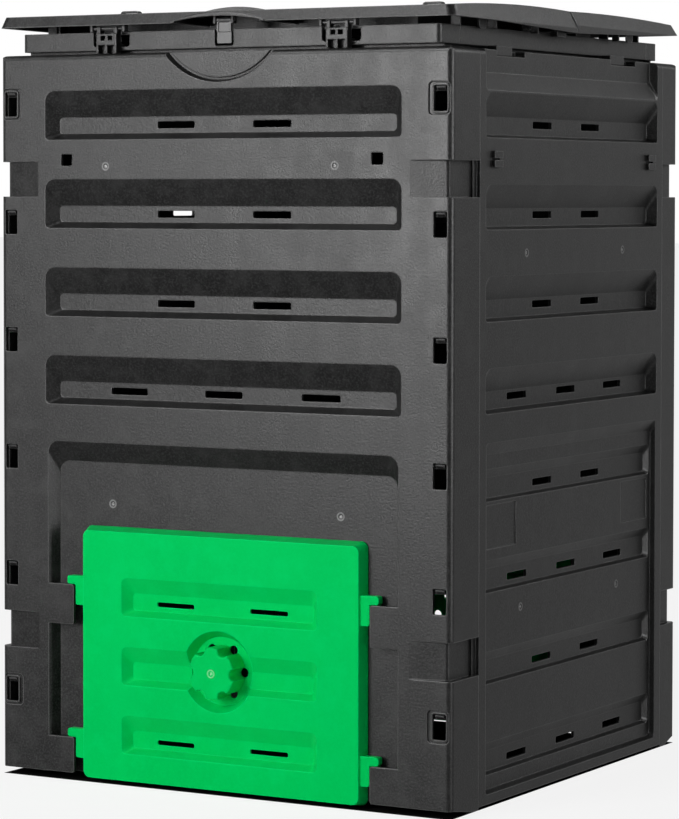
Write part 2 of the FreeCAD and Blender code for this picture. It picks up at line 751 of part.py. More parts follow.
def side_rows():
    """Pockets, backings and slots of the side panel's eight rows."""
    pockets = []
    backings = []
    slots = []
    half = (-SIDE_LOUVRE_HALF, SIDE_LOUVRE_HALF)
    upper_rows = row_count(SIDE_LOUVRE_TOP - SIDE_LOUVRE_HEIGHT, FIELD_TOP)
    for row in range(upper_rows):
        top = SIDE_LOUVRE_TOP - row * ROW_PITCH
        pair = pocket_pair(
            -HALF_WIDTH, LOUVRE_DEPTH, WALL, half, (top - SIDE_LOUVRE_HEIGHT, top),
            (SIDE_LOUVRE_RUN, SIDE_LOUVRE_SLOPE, SIDE_LOUVRE_STEP),
            (LOUVRE_TOP_R, LOUVRE_BOTTOM_R, LOUVRE_BOTTOM_R))
        pockets.append(pair[0])
        backings.append(pair[1])
        for middle in slot_centres(row == upper_rows - 1):
            z = top - SIDE_SLOT_BELOW
            slots.append(slot_cut(middle, SLOT_HEIGHT, z, -HALF_WIDTH + LOUVRE_DEPTH, WALL))
    field = -HALF_WIDTH + FIELD_DEPTH
    low_half = (-FIELD_HALF + SIDE_LOUVRE_RUN, FIELD_HALF - SIDE_LOUVRE_RUN)
    for row in range(row_count(LOW_LOUVRE_TOP - LOW_LOUVRE_HEIGHT, FIELD_LOW)):
        top = LOW_LOUVRE_TOP - row * ROW_PITCH
        pair = pocket_pair(
            field, LOW_LOUVRE_DEPTH, WALL, low_half, (top - LOW_LOUVRE_HEIGHT, top),
            (SIDE_LOUVRE_RUN, LOW_LOUVRE_SLOPE, SIDE_LOUVRE_STEP),
            (LOUVRE_BOTTOM_R, LOUVRE_BOTTOM_R, LOUVRE_BOTTOM_R))
        pockets.append(pair[0])
        backings.append(pair[1])
        for middle in slot_centres(row % 2 == 1):
            z = top - LOW_SLOT_BELOW
            slots.append(slot_cut(middle, SLOT_HEIGHT, z, field + LOW_LOUVRE_DEPTH, WALL))
    return pockets, backings, slots


def side_frame_pairs():
    """The recessed top strip and the recessed lower field, each with its backing."""
    above = WALL_TOP + STRIP_SLOPE
    strip = pocket_pair(
        -HALF_WIDTH, STRIP_DEPTH, WALL, (-SIDE_LOUVRE_HALF, SIDE_LOUVRE_HALF), (STRIP_LOW, above),
        (STRIP_RUN, 0, STRIP_SLOPE), (LOUVRE_BOTTOM_R, LOUVRE_BOTTOM_R, LOUVRE_BOTTOM_R))
    field = pocket_pair(
        -HALF_WIDTH, FIELD_DEPTH, WALL, (-FIELD_HALF, FIELD_HALF), (FIELD_LOW, FIELD_TOP),
        (WALL / 2, FIELD_BEVEL, WALL), (LOUVRE_BOTTOM_R, LOUVRE_BOTTOM_R, LOUVRE_BOTTOM_R))
    limit = block((-HALF_WIDTH, HALF_WIDTH), (-HALF_WIDTH, 0), (SIDE_BOTTOM, WALL_TOP))
    return strip[0], strip[1].common(limit), field[0], field[1].common(limit)


def side_flange(direction, wrap):
    """The edge that slips under a corner wrap, with its hooks, and open behind the front windows."""
    skin = HALF_WIDTH - WALL - CLEAR
    end = direction * skin - SIDE_MIDDLE
    start = direction * (SIDE_HALF - 2 * WALL)
    back = end - direction * WALL
    tip = -skin + HOOK_RETURN
    corners = [
        (start, -skin), (end, -skin), (end, tip), (back, tip), (back, -skin + WALL),
        (start, -skin + WALL),
    ]
    round_r = CORNER_R - WALL - CLEAR
    low = END_BOTTOM + WALL
    high = LEDGE_LOW - CLEAR
    flange = prism(corners, [0, round_r, 0, 0, 0, 0], plan(low), UP * (high - low))
    seam = direction * (HALF_WIDTH - wrap) - SIDE_MIDDLE
    clear_from = seam + direction * (DENT_SEAM_GAP - CLEAR)
    clear_to = end + direction * WALL
    span_u = (min(clear_from, clear_to), max(clear_from, clear_to))
    for span in DENT_SPANS:
        z = (span[0] - WALL - CLEAR, span[1] + WALL + CLEAR)
        flange = flange.cut(block(span_u, (-HALF_WIDTH, tip + BLEND), z))
    joggle_u = tuple(sorted((start, direction * SIDE_HALF)))
    joggle = block(joggle_u, (-skin - 2 * BLEND, -skin + WALL), (low, high))
    hooks = [flange, joggle]
    reach = direction * (HALF_WIDTH + HOOK_OUT - WALL) - SIDE_MIDDLE
    hook_y = (-WINDOW_X - HOOK_WIDTH / 2, -WINDOW_X + HOOK_WIDTH / 2)
    open_u = tuple(sorted((back - direction * BLEND, end + direction * BLEND)))
    open_y = (-skin + WALL, tip + BLEND)
    windows = []
    for index in range(WINDOW_COUNT):
        z = WINDOW_TOP_Z - index * WINDOW_PITCH
        low = z + HOOK_LOW
        top = low + HOOK_TALL
        ramp = [(end, low), (reach, low + HOOK_RAMP), (reach, top), (back, top), (back, low)]
        hooks.append(prism(ramp, [0] * len(ramp), facing(hook_y[0]), V(0, HOOK_WIDTH, 0)))
        if wrap == FRONT_WRAP:
            windows.append(block(open_u, open_y, (z - WINDOW_HEIGHT / 2 - BLEND, low)))
    return joined(hooks).cut(windows) if windows else joined(hooks)


def side_cuts():
    """Peg holes, collar notches, gate marks and the two shallow plates."""
    cuts = []
    face = -HALF_WIDTH
    hole_x = PEG_WIDTH / 2 + CLEAR
    hole_z = PEG_HEIGHT / 2 + CLEAR
    for side in (-1, 1):
        u = side * BAR_OFFSET
        width = (u - hole_x, u + hole_x)
        height = (BAR_Z - hole_z, BAR_Z + hole_z)
        cuts.append(block(width, (face - BLEND, face + WALL + BLEND), height))
        notch = side * NOTCH_U
        width = (notch - NOTCH_WIDTH / 2, notch + NOTCH_WIDTH / 2)
        notch_y = (face - BLEND, -COLLAR_X + BLEND)
        cuts.append(block(width, notch_y, (NOTCH_LOW, WALL_TOP + BLEND)))
        cuts.append(mark_cut(side * SIDE_MARK_U, SIDE_MARK_HIGH, face))
        cuts.append(mark_cut(side * SIDE_MARK_U, SIDE_MARK_LOW, face + FIELD_DEPTH))
        plate = tuple(sorted((side * PLATE_NEAR, side * (PLATE_NEAR + PLATE_WIDTH))))
        plate_y = (face + FIELD_DEPTH - BLEND, face + FIELD_DEPTH + PLATE_DEPTH)
        cuts.append(upright_plate(plate, plate_y, (PLATE_LOW, PLATE_LOW + PLATE_HEIGHT), SLOT_R))
    return cuts


def side_panel():
    """The right side panel, made facing the front and then turned into its place."""
    plate = block((-SIDE_HALF, SIDE_HALF), (-HALF_WIDTH, -HALF_WIDTH + WALL), (SIDE_BOTTOM, WALL_TOP))
    ledge_y = (-HALF_WIDTH + BLEND, -HALF_WIDTH + SIDE_LEDGE_IN)
    ledge = block((-SIDE_HALF, SIDE_HALF), ledge_y, (LEDGE_LOW, WALL_TOP))
    strip, strip_back, field, field_back = side_frame_pairs()
    pockets, backings, slots = side_rows()
    body = joined([plate, ledge, strip_back, field_back] + backings)
    body = body.cut([strip, field] + pockets)
    body = body.cut(slots + side_cuts() + [top_rounding()])
    flanges = [side_flange(-1, FRONT_WRAP), side_flange(1, REAR_WRAP)]
    body = joined([body] + flanges)
    body = turned(body, 90)
    body.translate(V(0, SIDE_MIDDLE, 0))
    return body


def bar_piece(x, y, wide, tall):
    """A length of the tie bar about its own axis at depth y."""
    return block(x, (y - wide / 2, y + wide / 2), (BAR_Z - tall / 2, BAR_Z + tall / 2))


def tie_bar(direction):
    """A grooved bar from side to side, with split snap pegs through both walls."""
    y = SIDE_MIDDLE + direction * BAR_OFFSET
    shoulder = HALF_WIDTH - WALL - CLEAR
    tip = HALF_WIDTH + PEG_OUT
    core = bar_piece((-tip, tip), y, PEG_WIDTH, PEG_HEIGHT)
    solids = [bar_piece((-shoulder, shoulder), y, BAR_WIDTH, BAR_HEIGHT), core]
    end = shoulder - 2 * BAR_HEIGHT
    groove_tall = BAR_HEIGHT - 2 * BAR_WEB
    groove_y = BAR_WIDTH - BAR_GROOVE
    cuts = []
    for side in (-1, 1):
        cuts.append(bar_piece((-end, end), y + side * groove_y, BAR_WIDTH, groove_tall))
        barb_x = tuple(sorted((side * (HALF_WIDTH + CLEAR), side * tip)))
        solids.append(bar_piece(barb_x, y, PEG_WIDTH, PEG_HEIGHT + 2 * PEG_BARB))
        slit_x = tuple(sorted((side * (tip + BLEND), side * (shoulder + BLEND))))
        cuts.append(bar_piece(slit_x, y, 2 * PEG_WIDTH, PEG_SLIT))
    return joined(solids).cut(cuts)


def wrapped_rail(end_return):
    """A front or rear collar rail with its corner returns, made as a front one."""
    back = -COLLAR_Y + end_return
    inner_x = COLLAR_X - WALL
    inner_y = -COLLAR_Y + WALL
    corners = [
        (-COLLAR_X, back), (-COLLAR_X, -COLLAR_Y), (COLLAR_X, -COLLAR_Y), (COLLAR_X, back),
        (inner_x, back), (inner_x, inner_y), (-inner_x, inner_y), (-inner_x, back),
    ]
    inner_r = COLLAR_R - WALL
    radii = [0, COLLAR_R, COLLAR_R, 0, 0, inner_r, inner_r, 0]
    wall = prism(corners, radii, plan(COLLAR_LOW), UP * (COLLAR_TOP - COLLAR_LOW))
    span = (-inner_x - BLEND, inner_x + BLEND)
    sill = block(span, (inner_y - BLEND, inner_y + COLLAR_FOOT), (COLLAR_LOW, COLLAR_FOOT_TOP))
    foot_y = inner_y + COLLAR_FOOT
    foot = block(span, (foot_y - WALL, foot_y), (WALL_TOP, COLLAR_FOOT_TOP))
    foot_x = inner_x - COLLAR_FOOT
    side_sill = block((foot_x, inner_x + BLEND), (inner_y, back), (COLLAR_LOW, COLLAR_FOOT_TOP))
    side_foot = block((foot_x, foot_x + WALL), (foot_y - WALL, back), (WALL_TOP, COLLAR_FOOT_TOP))
    flange_z = (COLLAR_TOP - COLLAR_FLANGE_THICK, COLLAR_TOP)
    flange = block(span, (inner_y - BLEND, inner_y + COLLAR_FLANGE), flange_z)
    rail = joined([wall, sill, foot, flange] + both_sides(side_sill) + both_sides(side_foot))
    through = (-COLLAR_Y - BLEND, inner_y + CLEAR)
    cuts = []
    for side in (-1, 1):
        x = (side * CLIP_X - CLIP_NOTCH_HALF, side * CLIP_X + CLIP_NOTCH_HALF)
        z = (CLIP_NOTCH_LOW, COLLAR_TOP + CLIP_NOTCH_R)
        cuts.append(upright_plate(x, through, z, CLIP_NOTCH_R))
    half = LATCH_NOTCH_HALF
    z = (LATCH_NOTCH_LOW, COLLAR_TOP + LATCH_NOTCH_R)
    deep = (-COLLAR_Y - BLEND, inner_y + COLLAR_FLANGE + BLEND)
    cuts.append(upright_plate((-half, half), through, z, LATCH_NOTCH_R))
    cuts.append(block((-half, half), deep, (COLLAR_TOP - WALL, COLLAR_TOP + BLEND)))
    return rail.cut(cuts)


def side_rail():
    """The right collar rail between the two wrapped rails, with tabs for the wall's notches."""
    front = -COLLAR_Y + COLLAR_FRONT_RETURN + COLLAR_SEAM
    rear = COLLAR_Y - COLLAR_REAR_RETURN - COLLAR_SEAM
    inner = COLLAR_X - WALL
    wall = block((inner, COLLAR_X), (front, rear), (COLLAR_LOW, COLLAR_TOP))
    sill_x = (inner - COLLAR_FOOT, inner + BLEND)
    sill = block(sill_x, (front, rear), (COLLAR_LOW, COLLAR_FOOT_TOP))
    foot_x = inner - COLLAR_FOOT
    foot = block((foot_x, foot_x + WALL), (front, rear), (WALL_TOP, COLLAR_FOOT_TOP))
    flange_z = (COLLAR_TOP - COLLAR_FLANGE_THICK, COLLAR_TOP)
    flange = block((inner - COLLAR_FLANGE, inner + BLEND), (front, rear), flange_z)
    tabs = []
    for side in (-1, 1):
        start = SIDE_MIDDLE + side * NOTCH_U - NOTCH_WIDTH / 2 + BLEND
        y = (start, start + COLLAR_TAB_LENGTH)
        out = COLLAR_X + COLLAR_TAB_OUT
        tabs.append(block((COLLAR_X - BLEND, out), y, (COLLAR_TAB_LOW, COLLAR_LOW + BLEND)))
    return joined([wall, sill, foot, flange] + tabs)


def lid_clip(x):
    """A clip that saddles the collar's notch and holds a lid pin in two open eyes."""
    face = -CLIP_FACE
    back = -COLLAR_Y - CLEAR
    low = WALL_TOP + CLEAR
    wide = (x - CLIP_HALF, x + CLIP_HALF)
    solids = [block(wide, (back - CLIP_BACK, back), (low, CLIP_RIB_TOP))]
    for offset in (-CLIP_HALF, -CLIP_RIB / 2, CLIP_HALF - CLIP_RIB):
        left = x + offset
        solids.append(block((left, left + CLIP_RIB), (face, back), (low, CLIP_RIB_TOP)))
    solids.append(block(wide, (face, back), (CLIP_RIB_TOP - BLEND, CLIP_BAR_TOP)))
    post_z = (CLIP_BAR_TOP - BLEND, CLIP_TOP)
    solids.append(block((x - CLIP_POST / 2, x + CLIP_POST / 2), (face, face + CLIP_POST), post_z))
    for side in (-1, 1):
        low_x, high_x = sorted((x + side * CLIP_SHOULDER, x + side * CLIP_HALF))
        solids.append(block((low_x, high_x), (face, face + CLIP_POST), post_z))
    solids.append(block(wide, (face, face + CLIP_POST), (CLIP_WINDOW_TOP, CLIP_TOP)))
    saddle_low = CLIP_NOTCH_LOW + CLEAR
    behind = -COLLAR_Y + WALL + CLEAR
    solids.append(block(wide, (back - BLEND, behind + CLIP_BACK), (saddle_low, CLIP_RIB_TOP)))
    lip_low = COLLAR_FOOT_TOP + CLEAR
    solids.append(block(wide, (behind, behind + CLIP_BACK), (lip_low, CLIP_RIB_TOP)))
    for side in (-1, 1):
        solids.append(clip_eye(x + side * (CLIP_HALF - EYE_THICK / 2)))
    return joined(solids)


def clip_eye(x):
    """One upright eye of a lid clip, open at the top for the pin to snap in."""
    y = (-LID_PIN_Y - EYE_R, -LID_PIN_Y + EYE_R)
    z = (CLIP_BAR_TOP - BLEND, EYE_TOP)
    plate = block((x - EYE_THICK / 2, x + EYE_THICK / 2), y, z)
    left = x - EYE_THICK
    centre = V(left, -LID_PIN_Y, LID_PIN_Z)
    hole = Part.makeCylinder(LID_PIN_R + PIN_CLEAR, 2 * EYE_THICK, centre, V(1, 0, 0))
    mouth_y = (-LID_PIN_Y - EYE_MOUTH / 2, -LID_PIN_Y + EYE_MOUTH / 2)
    mouth = block((left, left + 2 * EYE_THICK), mouth_y, (LID_PIN_Z, EYE_TOP + BLEND))
    return plate.cut([hole, mouth])


def rod(radius, x, y, z):
    """A round rod along X between two x values."""
    return Part.makeCylinder(radius, x[1] - x[0], V(x[0], y, z), V(1, 0, 0))


def lid_pins():
    """The pair of pins in a leaf's ears, made at the front."""
    pins = []
    for side in (-1, 1):
        x = (side * CLIP_X - LID_PIN_HALF, side * CLIP_X + LID_PIN_HALF)
        pins.append(rod(LID_PIN_R, x, -LID_PIN_Y, LID_PIN_Z))
    return Part.makeCompound(pins)


def leaf_lines(front):
    """What differs between the leaves: rim break, rim end, edge top, crown and end draft."""
    if front:
        rises = (FRONT_BREAK_RISE, FRONT_RIM_RISE, FRONT_EDGE_RISE, FRONT_CROWN_RISE)
        return [LID_LOW + rise for rise in rises] + [LID_DRAFT]
    rises = (REAR_BREAK_RISE, REAR_RIM_RISE, REAR_EDGE_RISE, REAR_CROWN_RISE)
    return [LID_LOW + rise for rise in rises] + [REAR_END_DRAFT]


def crown_arc(lines, inset):
    """Three points of a leaf's top line from its end to the fold, inset downward."""
    edge_top, crown, draft = lines[2:]
    start = V(0, -LID_HALF + draft + inset, edge_top - inset)
    middle = V(0, -LID_CROWN_Y, crown - inset)
    end = V(0, -inset - FOLD_GAP, FOLD_Z - inset)
    return start, middle, end


def roof_height(lines, y, inset=LID_WALL / 2):
    """The height inside a leaf's skin at a distance from the fold, or of its top with no inset."""
    crown = Part.Arc(*crown_arc(lines, inset)).toShape().Curve
    centre = crown.Center
    return centre.z + math.sqrt(crown.Radius ** 2 - (y + centre.y) ** 2)


def leaf_profile(lines, inset, slant):
    """A leaf's section along Y and Z; an inset gives the hollow under it."""
    rim_break, rim_end = lines[:2]
    start, middle, end = crown_arc(lines, inset)
    drop = 2 * LID_WALL if inset else 0
    corners = [
        end, V(0, slant - inset - FOLD_GAP, LID_LOW - drop), V(0, -LID_BREAK_Y, rim_break - drop),
        V(0, -LID_HALF - BLEND, rim_end - drop), V(0, -LID_HALF - BLEND, start.z), start,
    ]
    edges = [Part.Arc(start, middle, end).toShape()]
    for first, second in zip(corners, corners[1:]):
        edges.append(Part.makeLine(first, second))
    return Part.Face(Part.Wire(edges))


def lid_envelope(lines, inset):
    """The lid's outline with rounded corners: upright below the rim and drafted above it."""
    rim_end, edge_top, draft = lines[1], lines[2], lines[4]
    half = LID_HALF - inset
    radii = [LID_CORNER_R - inset] * 4
    low = LID_LOW - 3 * LID_WALL
    high = FOLD_Z + LID_WALL
    steep = (high - rim_end) / (edge_top - rim_end)
    wide = rectangle((-half, half), (-half, half))
    narrow_x = half - LID_DRAFT * steep
    narrow = rectangle((-narrow_x, narrow_x), (draft * steep - half, half))
    upright = prism(wide, radii, plan(low), UP * (rim_end - low))
    rings = [rounded_wire(wide, radii, plan(rim_end)), rounded_wire(narrow, radii, plan(high))]
    return joined([upright, Part.makeLoft(rings, True, True)])


def leaf_body(lines, inset, slant):
    """A leaf's outer or inner body."""
    body = leaf_profile(lines, inset, slant)
    body.translate(V(-LID_HALF, 0, 0))
    body = body.extrude(V(2 * LID_HALF, 0, 0))
    return body.common(lid_envelope(lines, inset))


def lip_wire(y, half, base, spring, peak):
    """One arched section of the grip lip."""
    left = V(-half, y, spring)
    right = V(half, y, spring)
    low_left = V(-half, y, base)
    low_right = V(half, y, base)
    edges = [
        Part.makeLine(low_left, low_right), Part.makeLine(low_right, right),
        Part.Arc(right, V(0, y, peak), left).toShape(), Part.makeLine(left, low_left),
    ]
    return Part.Wire(edges)


def lip_pair():
    """The grip lip's outer body and the finger tunnel under it."""
    half = LIP_HALF + LIP_SIDE
    front = -HALF_WIDTH - LIP_OUT
    crest = -HALF_WIDTH + LIP_CREST_IN
    end = -HALF_WIDTH + LIP_END_IN
    base = LIP_LOW - LIP_THICK / 2
    front_peak = LIP_LOW + LIP_ARCH
    crest_top = LID_LOW + LIP_CREST_RISE
    crest_spring = LIP_SPRING - LIP_THICK
    outer = [
        lip_wire(front, half, base, LIP_LOW, front_peak + LIP_THICK),
        lip_wire(crest, half, base, crest_spring, crest_top),
        lip_wire(end, half, base, crest_spring, LIP_SPRING + LIP_THICK / 2),
    ]
    low = LID_LOW - 2 * LID_WALL
    inner_spring = crest_spring - LIP_THICK / 2
    tunnel = [
        lip_wire(front - BLEND, LIP_HALF, low, LIP_LOW, front_peak),
        lip_wire(crest, LIP_HALF, low, inner_spring, crest_top - LIP_THICK - BLEND),
        lip_wire(end + BLEND, LIP_HALF, low, inner_spring, LIP_SPRING - LIP_THICK / 2),
    ]
    return Part.makeLoft(outer, True, True), Part.makeLoft(tunnel, True, True)


def top_loop(lines, x):
    """A low arched loop on top of the leaf."""
    y = (-LOOP_Y - LOOP_DEPTH / 2, -LOOP_Y + LOOP_DEPTH / 2)
    top = roof_height(lines, LOOP_Y, 0) + LOOP_RISE
    foot = roof_height(lines, LOOP_Y)
    outline = rectangle((x - LOOP_HALF, x + LOOP_HALF), (foot, top))
    arch = prism(outline, [0, 0, LOOP_R, LOOP_R], facing(y[0]), V(0, LOOP_DEPTH, 0))
    inner_x = (x - LOOP_HALF + LOOP_THICK, x + LOOP_HALF - LOOP_THICK)
    gap_z = (foot + LID_WALL / 2, top - LOOP_THICK)
    return arch.cut(block(inner_x, (y[0] - BLEND, y[1] + BLEND), gap_z))


def pin_ears(centre, offset, thick, y, z, pin_r, roof):
    """A pair of ears that hang from the lid on either side of a pin's middle part."""
    ears = []
    for side in (-1, 1):
        low, high = sorted((centre + side * offset, centre + side * (offset + thick)))
        ear = block((low, high), (y - EAR_HALF, y + EAR_HALF), (z - EAR_HALF, roof))
        ears.append(ear.cut(rod(pin_r, (low - BLEND, high + BLEND), y, z)))
    return ears


def under_ribs(lines, rib_y):
    """The thin ribs, round tabs and rest ribs under one leaf, right and left."""
    rib_span = (-rib_y - RIB_THICK / 2, -rib_y + RIB_THICK / 2)
    rib = block(RIB_X, rib_span, (LID_LOW - RIB_DROP, roof_height(lines, rib_y)))
    tab_y = (-U_TAB_Y - U_TAB_HALF, -U_TAB_Y + U_TAB_HALF)
    tab_r = U_TAB_HALF / 2
    tab_outline = rectangle(tab_y, (LID_LOW - U_TAB_DROP, roof_height(lines, U_TAB_Y)))
    tab = prism(tab_outline, [tab_r, tab_r, 0, 0], across(RIB_X[0]), V(RIB_THICK, 0, 0))
    parts = both_sides(rib) + both_sides(tab)
    rest_x = (COLLAR_X - REST_IN - REST_LENGTH, COLLAR_X - REST_IN)
    for index in range(REST_COUNT):
        y = REST_Y + index * REST_PITCH
        rest_z = (COLLAR_TOP + LID_REST_GAP, roof_height(lines, y))
        rest = block(rest_x, (-y - REST_THICK / 2, -y + REST_THICK / 2), rest_z)
        parts.extend(both_sides(rest))
    return parts


def under_rim(within):
    """A leaf's inner rim, which stiffens it and closes the view over the collar."""
    side = COLLAR_X - RIM_SET_IN
    end = RIM_SET_IN - COLLAR_Y
    z = (COLLAR_TOP, FOLD_Z)
    run = block((side - RIM_THICK, side), (end, -RIM_FOLD_GAP), z)
    closing = block((-side, side), (end, end + RIM_THICK), z)
    return [piece.common(within) for piece in both_sides(run) + [closing]]


def fold_blocks():
    """The block that hangs beside the fold at each side of the front leaf."""
    x = (COLLAR_X + FOLD_BLOCK_GAP, COLLAR_X + FOLD_BLOCK_GAP + FOLD_BLOCK_WIDE)
    z = (LID_LOW - FOLD_BLOCK_DROP, LID_LOW + FOLD_BLOCK_RISE)
    return both_sides(block(x, (-FOLD_BLOCK_BACK, FOLD_BLOCK_AHEAD), z))


def knuckle_spans(inner):
    """The x spans of the fold's middle knuckles, or else of its outer ones."""
    spans = []
    for x in FOLD_HINGE_X:
        half = KNUCKLE_INNER / 2
        if inner:
            spans.append((x - half, x + half))
        else:
            start = half + KNUCKLE_GAP
            spans.append((x - start - KNUCKLE_OUTER, x - start))
            spans.append((x + start, x + start + KNUCKLE_OUTER))
    return spans


def lid_leaf(front):
    """A lid leaf, made at the front; the front leaf's fold edge leans out below the rear one's."""
    lines = leaf_lines(front)
    slant = LID_FOLD_SLANT if front else -LID_FOLD_SLANT
    outer = leaf_body(lines, 0, slant)
    inner = leaf_body(lines, LID_WALL, slant)
    lip, tunnel = lip_pair()
    clear_x = COLLAR_X + 2 * BLEND
    room_z = (0, LID_LOW + FOLD_ROOM_RISE)
    fold_room = block((-clear_x, clear_x), (-FOLD_ROOM_Y, FOLD_ROOM_Y), room_z)
    shell = joined([outer.cut(inner), lip]).cut([tunnel, fold_room])
    roof = LIP_SPRING - LID_WALL / 2
    solids = [shell, top_loop(lines, -LOOP_X), top_loop(lines, LOOP_X)]
    solids += under_rim(joined([outer, inner, lip]))
    solids += under_ribs(lines, FRONT_RIB_Y if front else REAR_RIB_Y)
    if front:
        solids += fold_blocks()
    for side in (-1, 1):
        offset = LID_PIN_HALF - EAR_THICK
        solids += pin_ears(
            side * CLIP_X, offset, EAR_THICK, -LID_PIN_Y, LID_PIN_Z, LID_PIN_R + PIN_CLEAR / 2, roof)
    solids += pin_ears(
        0, LATCH_EAR_X, LATCH_EAR_THICK, -LATCH_Y, LATCH_PIVOT_Z, LATCH_PIN_R + PIN_CLEAR / 2, roof)
    own = knuckle_spans(front)
    others = knuckle_spans(not front)
    solids += [rod(KNUCKLE_R, span, 0, FOLD_Z) for span in own]
    leaf = joined(solids)
    relief = []
    for low, high in others:
        wide = (low - KNUCKLE_GAP, high + KNUCKLE_GAP)
        relief.append(rod(KNUCKLE_R + KNUCKLE_GAP, wide, 0, FOLD_Z))
    fold_hole_r = FOLD_PIN_R + PIN_CLEAR
    relief += [rod(fold_hole_r, (low - BLEND, high + BLEND), 0, FOLD_Z) for low, high in own]
    return leaf.cut(relief)


def fold_pins():
    """One pin through each group of fold knuckles."""
    half = KNUCKLE_INNER / 2 + KNUCKLE_GAP + KNUCKLE_OUTER
    return Part.makeCompound([rod(FOLD_PIN_R, (x - half, x + half), 0, FOLD_Z) for x in FOLD_HINGE_X])


def latch():
    """The latch tongue with its pivot barrel, made at the front."""
    y = (-LATCH_Y - LATCH_THICK / 2, -LATCH_Y + LATCH_THICK / 2)
    half = LATCH_HALF
    tongue = upright_plate((-half, half), y, (LATCH_LOW, LATCH_TOP), LATCH_R)
    barrel = rod(LATCH_BARREL_R, (-half, half), -LATCH_Y, LATCH_PIVOT_Z)
    rim_y = (y[0] - BLEND, y[0] + BLEND)
    rims = []
    for side in (-1, 1):
        low, high = sorted((side * (half - LATCH_RIM), side * half))
        rims.append(block((low, high), rim_y, (LATCH_CREASE_Z, LATCH_TOP)))
    body = joined([tongue, barrel] + rims)
    bore = rod(LATCH_PIN_R + PIN_CLEAR, (-half - BLEND, half + BLEND), -LATCH_Y, LATCH_PIVOT_Z)
    crease_y = (y[0] - BLEND, y[0] + MARK_DEPTH)
    crease = block((-half, half), crease_y, (LATCH_CREASE_Z - BLEND, LATCH_CREASE_Z))
    return body.cut([bore, crease])


def latch_pin():
    """The pin in the lid's ears that a latch hangs on."""
    half = LATCH_EAR_X + LATCH_EAR_THICK
    return rod(LATCH_PIN_R, (-half, half), -LATCH_Y, LATCH_PIVOT_Z)


def door_hook(tab_top):
    """A right-hand hook: an arm on the tab, a leg beside it and a lip behind it."""
    y = (-HOOK_FACE, -HOOK_BACK)
    low = tab_top + CLEAR
    root = DOOR_HALF - 2 * DOOR_WALL
    arm = upright_plate((root - HOOK_R, HOOK_ARM_OUT), y, (low, low + HOOK_ARM_HEIGHT), HOOK_R)
    leg_low = low - HOOK_LEG_DROP
    leg = upright_plate((root - HOOK_R, HOOK_LEG_OUT), y, (leg_low, low + HOOK_R), HOOK_R)
    behind = (-HALF_WIDTH + WALL + CLEAR, -HOOK_BACK)
    lip = block((root, HOOK_LIP_OUT), behind, (leg_low, low + BLEND))
    return joined([arm, leg, lip])


def door_louvres():
    """Pockets, backings and slots of the door's three louvre rows."""
    pockets = []
    backings = []
    slots = []
    face = -DOOR_FACE
    for row in range(DOOR_LOUVRES):
        top = DOOR_LOUVRE_TOP - row * DOOR_LOUVRE_PITCH
        pair = pocket_pair(
            face, DOOR_LOUVRE_DEPTH, DOOR_WALL, (-DOOR_LOUVRE_HALF, DOOR_LOUVRE_HALF),
            (top - DOOR_LOUVRE_HEIGHT, top),
            (DOOR_LOUVRE_RUN, DOOR_LOUVRE_SLOPE, DOOR_LOUVRE_STEP),
            (DOOR_LOUVRE_TOP_R, DOOR_LOUVRE_BOTTOM_R, DOOR_LOUVRE_BOTTOM_R))
        pockets.append(pair[0])
        backings.append(pair[1])
        if row % 2 == 0:
            for side in (-1, 1):
                z = top - DOOR_SLOT_BELOW
                floor = face + DOOR_LOUVRE_DEPTH
                slots.append(slot_cut(side * DOOR_SLOT_X, DOOR_SLOT_HEIGHT, z, floor, DOOR_WALL))
    return pockets, backings, slots


def door():
    """The ribbed sliding door, made at the front."""
    x = (-DOOR_HALF, DOOR_HALF)
    z = (DOOR_LOW, DOOR_TOP)
    radii = (DOOR_R, DOOR_R, DOOR_R)
    runs = (DOOR_DRAFT, DOOR_DRAFT, DOOR_DRAFT / 2)
    outer = tapered(-DOOR_BACK, -DOOR_FACE, x, z, runs, radii)
    inner_x = (x[0] + DOOR_WALL, x[1] - DOOR_WALL)
    inner_z = (z[0] + DOOR_WALL, z[1] - DOOR_WALL)
    inner_radii = (DOOR_R - DOOR_WALL, DOOR_R - DOOR_WALL, DOOR_R - DOOR_WALL)
    hollow = tapered(-DOOR_BACK + BLEND, -DOOR_FACE + DOOR_WALL, inner_x, inner_z, runs, inner_radii)
    pockets, backings, slots = door_louvres()
    forward = V(0, 1, 0)
    start = V(0, -DOOR_FACE, KNOB_Z)
    dial = Part.makeCone(DIAL_OUTER_R, DIAL_FLOOR_R, DIAL_DEPTH, start, forward)
    back_depth = DOOR_FACE - DOOR_BACK - BLEND
    wide_r = DIAL_FLOOR_R + DOOR_WALL
    dial_back = Part.makeCone(
        DIAL_OUTER_R + DOOR_WALL, wide_r, back_depth, V(0, -DOOR_FACE + BLEND, KNOB_Z), forward)
    floor = -DOOR_FACE + DIAL_DEPTH
    bore = Part.makeCylinder(SHAFT_R + 2 * PIN_CLEAR, 2 * WALL, V(0, floor - BLEND, KNOB_Z), forward)
    holes = [bore]
    for index in range(KNOB_LOBES):
        angle = math.radians(index * 360 / KNOB_LOBES)
        centre = V(DIAL_HOLE_AT * math.cos(angle), floor - BLEND, KNOB_Z + DIAL_HOLE_AT * math.sin(angle))
        holes.append(Part.makeCylinder(DIAL_HOLE_R, 2 * WALL, centre, forward))
    hooks = []
    for tab_top in (HIGH_TAB_TOP, LOW_TAB_TOP):
        hooks.extend(both_sides(door_hook(tab_top)))
    body = joined([outer.cut(hollow), dial_back] + backings)
    body = body.cut(pockets + [dial])
    body = body.cut(slots + holes)
    return joined([body] + hooks)


